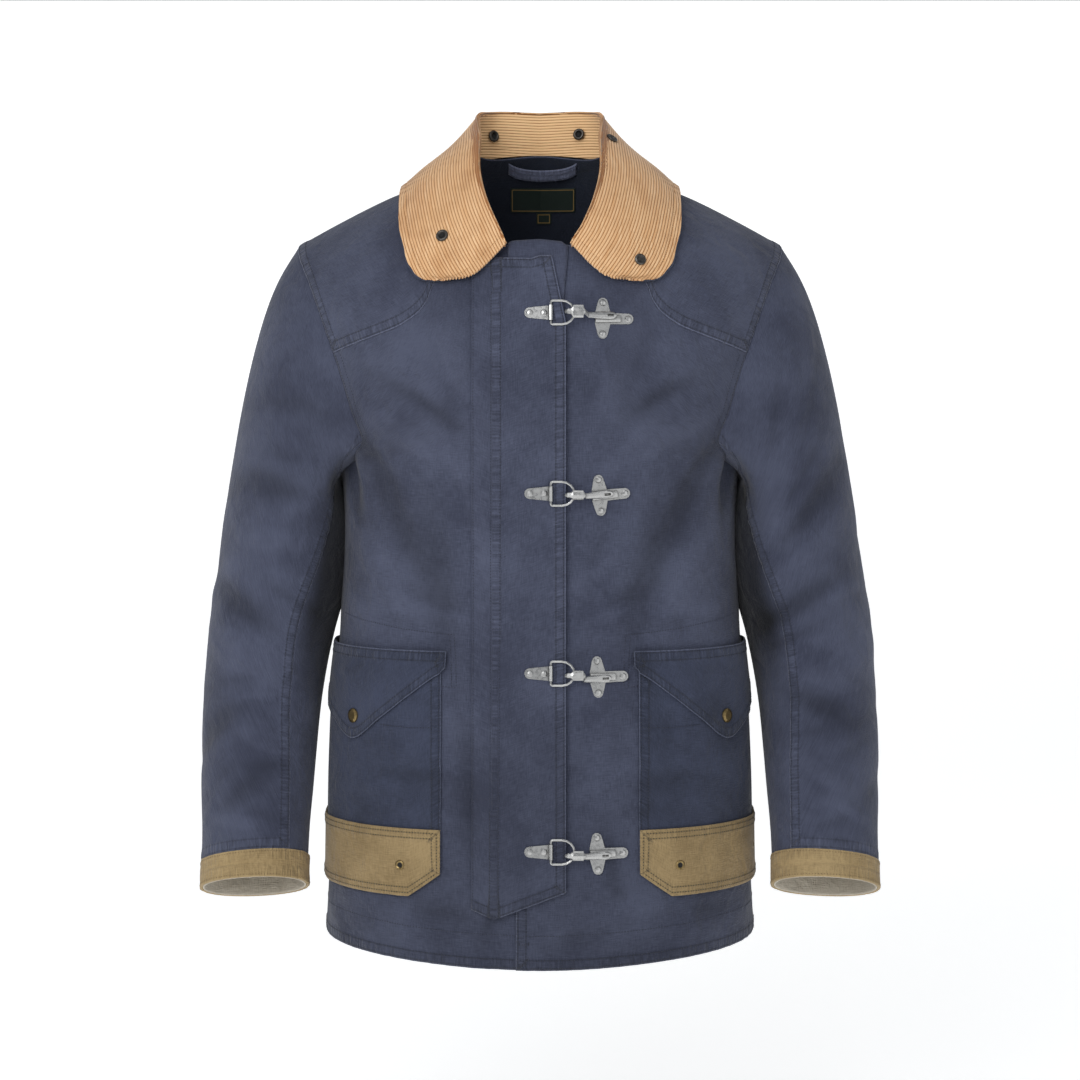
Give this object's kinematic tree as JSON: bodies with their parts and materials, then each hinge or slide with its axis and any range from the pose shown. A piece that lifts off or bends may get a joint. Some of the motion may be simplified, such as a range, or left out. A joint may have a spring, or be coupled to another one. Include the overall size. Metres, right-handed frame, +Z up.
{
  "type": "fireman jacket",
  "caption": "Hip-length worn jacket of navy canvas, hollow inside, with a corduroy collar, clasps down a storm flap, flapped side pockets and turned-up khaki cuffs",
  "frame": {"origin": "midway between the two places where the wearer's shoulders carry the jacket", "axes": "+Z up along the wearer's spine, -Y out of the jacket's front, +X towards the wearer's left"},
  "size_m": [0.664, 0.2944, 0.8302],
  "materials": {
    "navy_canvas": "matte, garment washed",
    "khaki_canvas": "matte, lightly waxed",
    "tan_corduroy": "cut pile in ribs along the collar",
    "grey_twill": "matte",
    "woven_label": "satin weave",
    "plated_steel": "tumbled nickel plate",
    "old_brass": "antiqued",
    "dark_metal": "blackened"
  },
  "bodies": {
    "root": {"back_panel": "navy_canvas", "collar_stud_1": "dark_metal", "collar_stud_2": "dark_metal", "collar_stud_3": "dark_metal", "collar_stud_4": "dark_metal", "collar_stud_5": "dark_metal", "collar_top": "tan_corduroy", "collar_under": "navy_canvas", "cuff_band_left": "khaki_canvas", "cuff_band_right": "khaki_canvas", "cuff_lining_left": "grey_twill", "cuff_lining_right": "grey_twill", "dee_plate_1": "plated_steel", "dee_plate_2": "plated_steel", "dee_plate_3": "plated_steel", "dee_plate_4": "plated_steel", "dee_ring_1": "plated_steel", "dee_ring_2": "plated_steel", "dee_ring_3": "plated_steel", "dee_ring_4": "plated_steel", "eyelet_left_1": "old_brass", "eyelet_left_2": "old_brass", "eyelet_right_1": "old_brass", "eyelet_right_2": "old_brass", "front_left": "navy_canvas", "front_right": "navy_canvas", "hanger_loop": "navy_canvas", "hook_plate_1": "plated_steel", "hook_plate_2": "plated_steel", "hook_plate_3": "plated_steel", "hook_plate_4": "plated_steel", "neck_label": "woven_label", "placket_facing": "navy_canvas", "pocket_band_left": "khaki_canvas", "pocket_band_right": "khaki_canvas", "pocket_flap_left": "navy_canvas", "pocket_flap_right": "navy_canvas", "pocket_left": "navy_canvas", "pocket_right": "navy_canvas", "pocket_stud_left": "old_brass", "pocket_stud_right": "old_brass", "size_tab": "woven_label", "snap_hook_1": "plated_steel", "snap_hook_2": "plated_steel", "snap_hook_3": "plated_steel", "snap_hook_4": "plated_steel", "storm_flap": "navy_canvas", "top_sleeve_left": "navy_canvas", "top_sleeve_right": "navy_canvas", "under_sleeve_left": "navy_canvas", "under_sleeve_right": "navy_canvas", "yoke_left": "navy_canvas", "yoke_right": "navy_canvas"}
  },
  "joints": []
}
